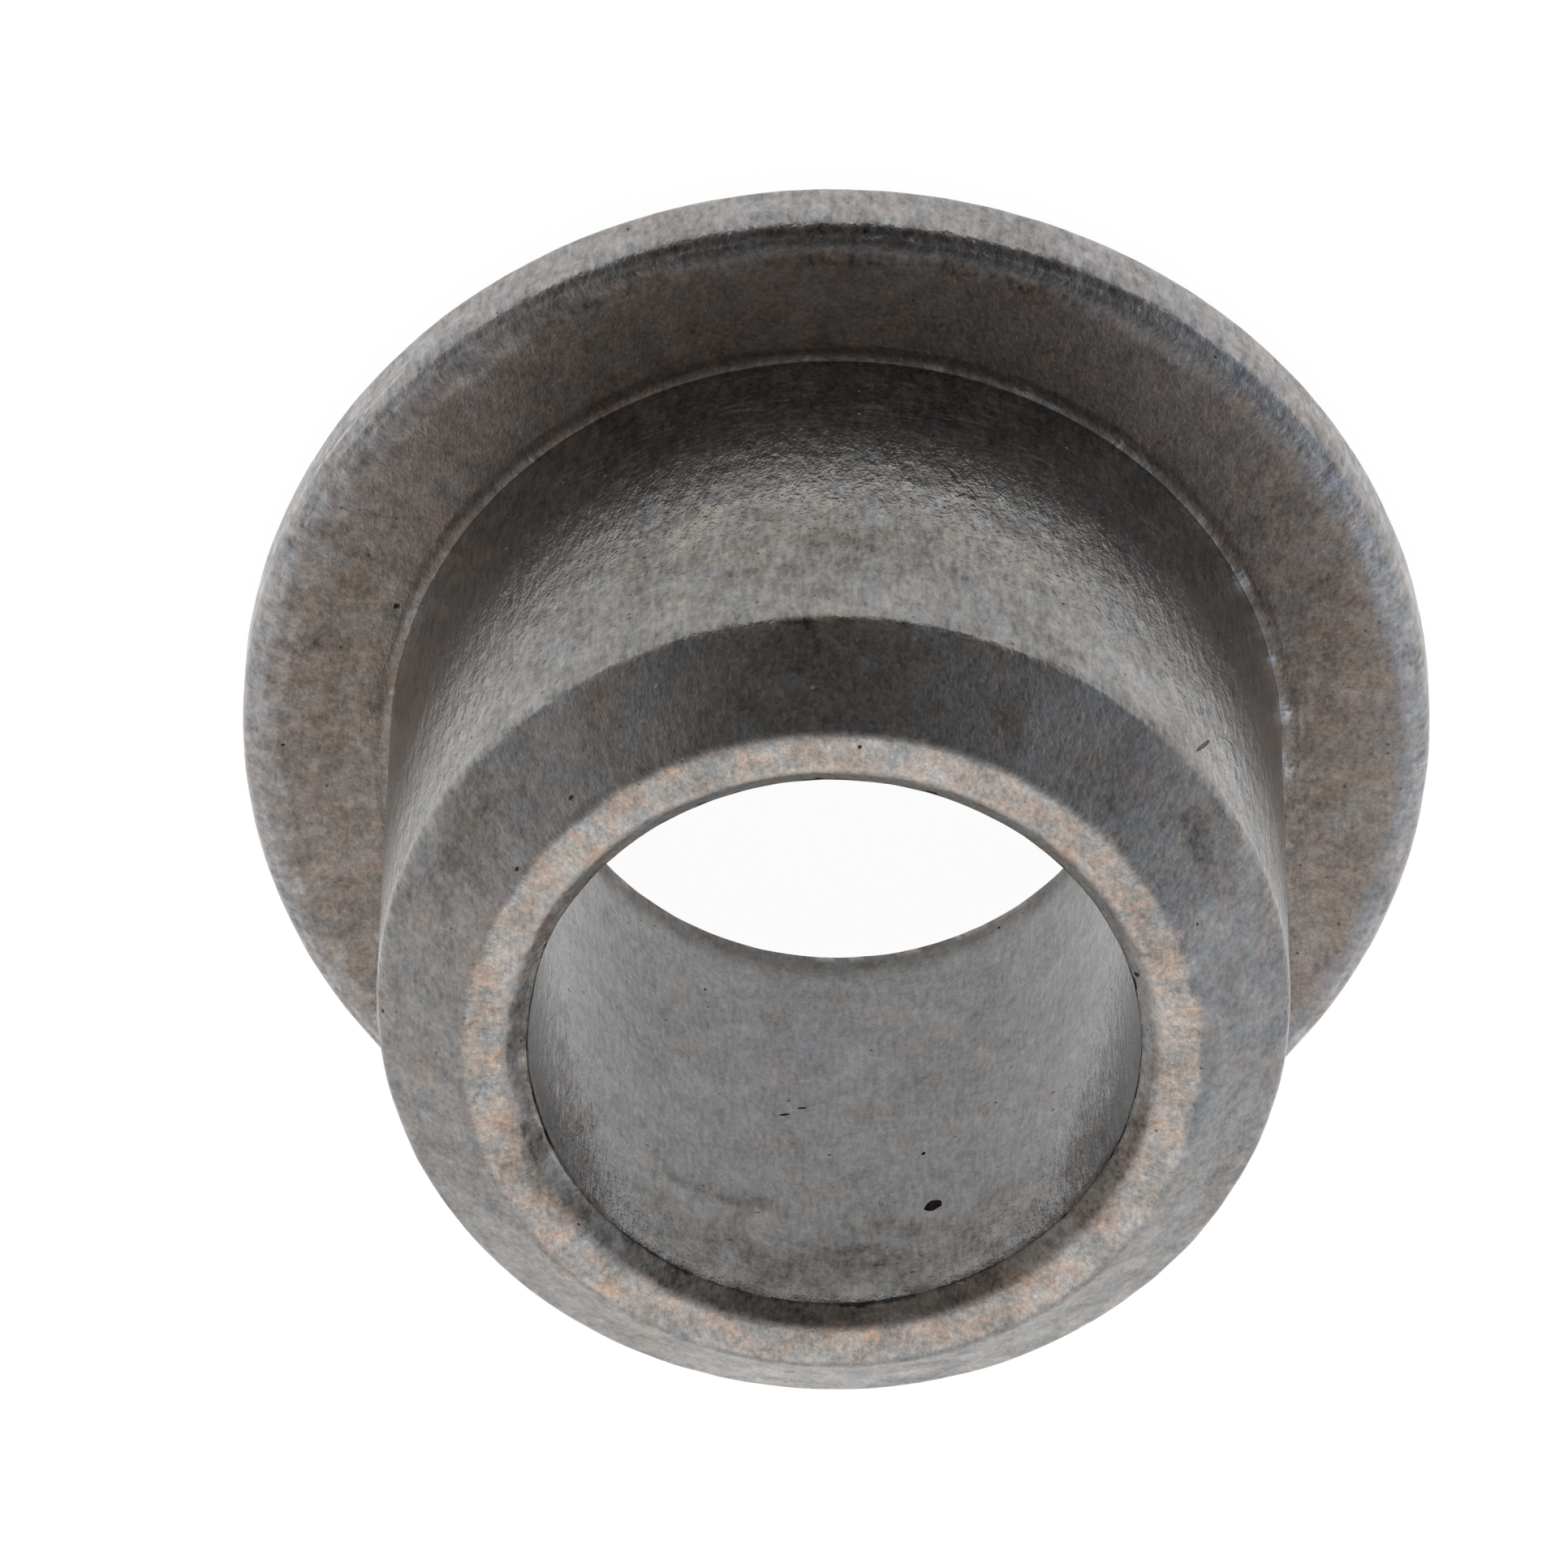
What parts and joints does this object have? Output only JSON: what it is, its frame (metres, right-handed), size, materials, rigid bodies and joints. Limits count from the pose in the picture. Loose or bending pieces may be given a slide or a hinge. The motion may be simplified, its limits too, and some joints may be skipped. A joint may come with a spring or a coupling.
{
  "type": "flanged sleeve bushing",
  "caption": "Flanged sleeve bushing of pressed and sintered bronze: plain bore, straight barrel with a chamfered nose, and a thin round flange.",
  "frame": {"origin": "centre of the flange's back face, on the bore axis", "axes": "+Z along the bore axis, from the flange towards the chamfered nose; X and Y are any two directions across it"},
  "size_m": [0.0254, 0.0254, 0.0143],
  "materials": {
    "sintered_bronze": "as sized after sintering, oil-soaked: satin grey-brown metal with fine open pores and specks of copper"
  },
  "bodies": {
    "root": {"flanged_bushing": "sintered_bronze"}
  },
  "joints": []
}
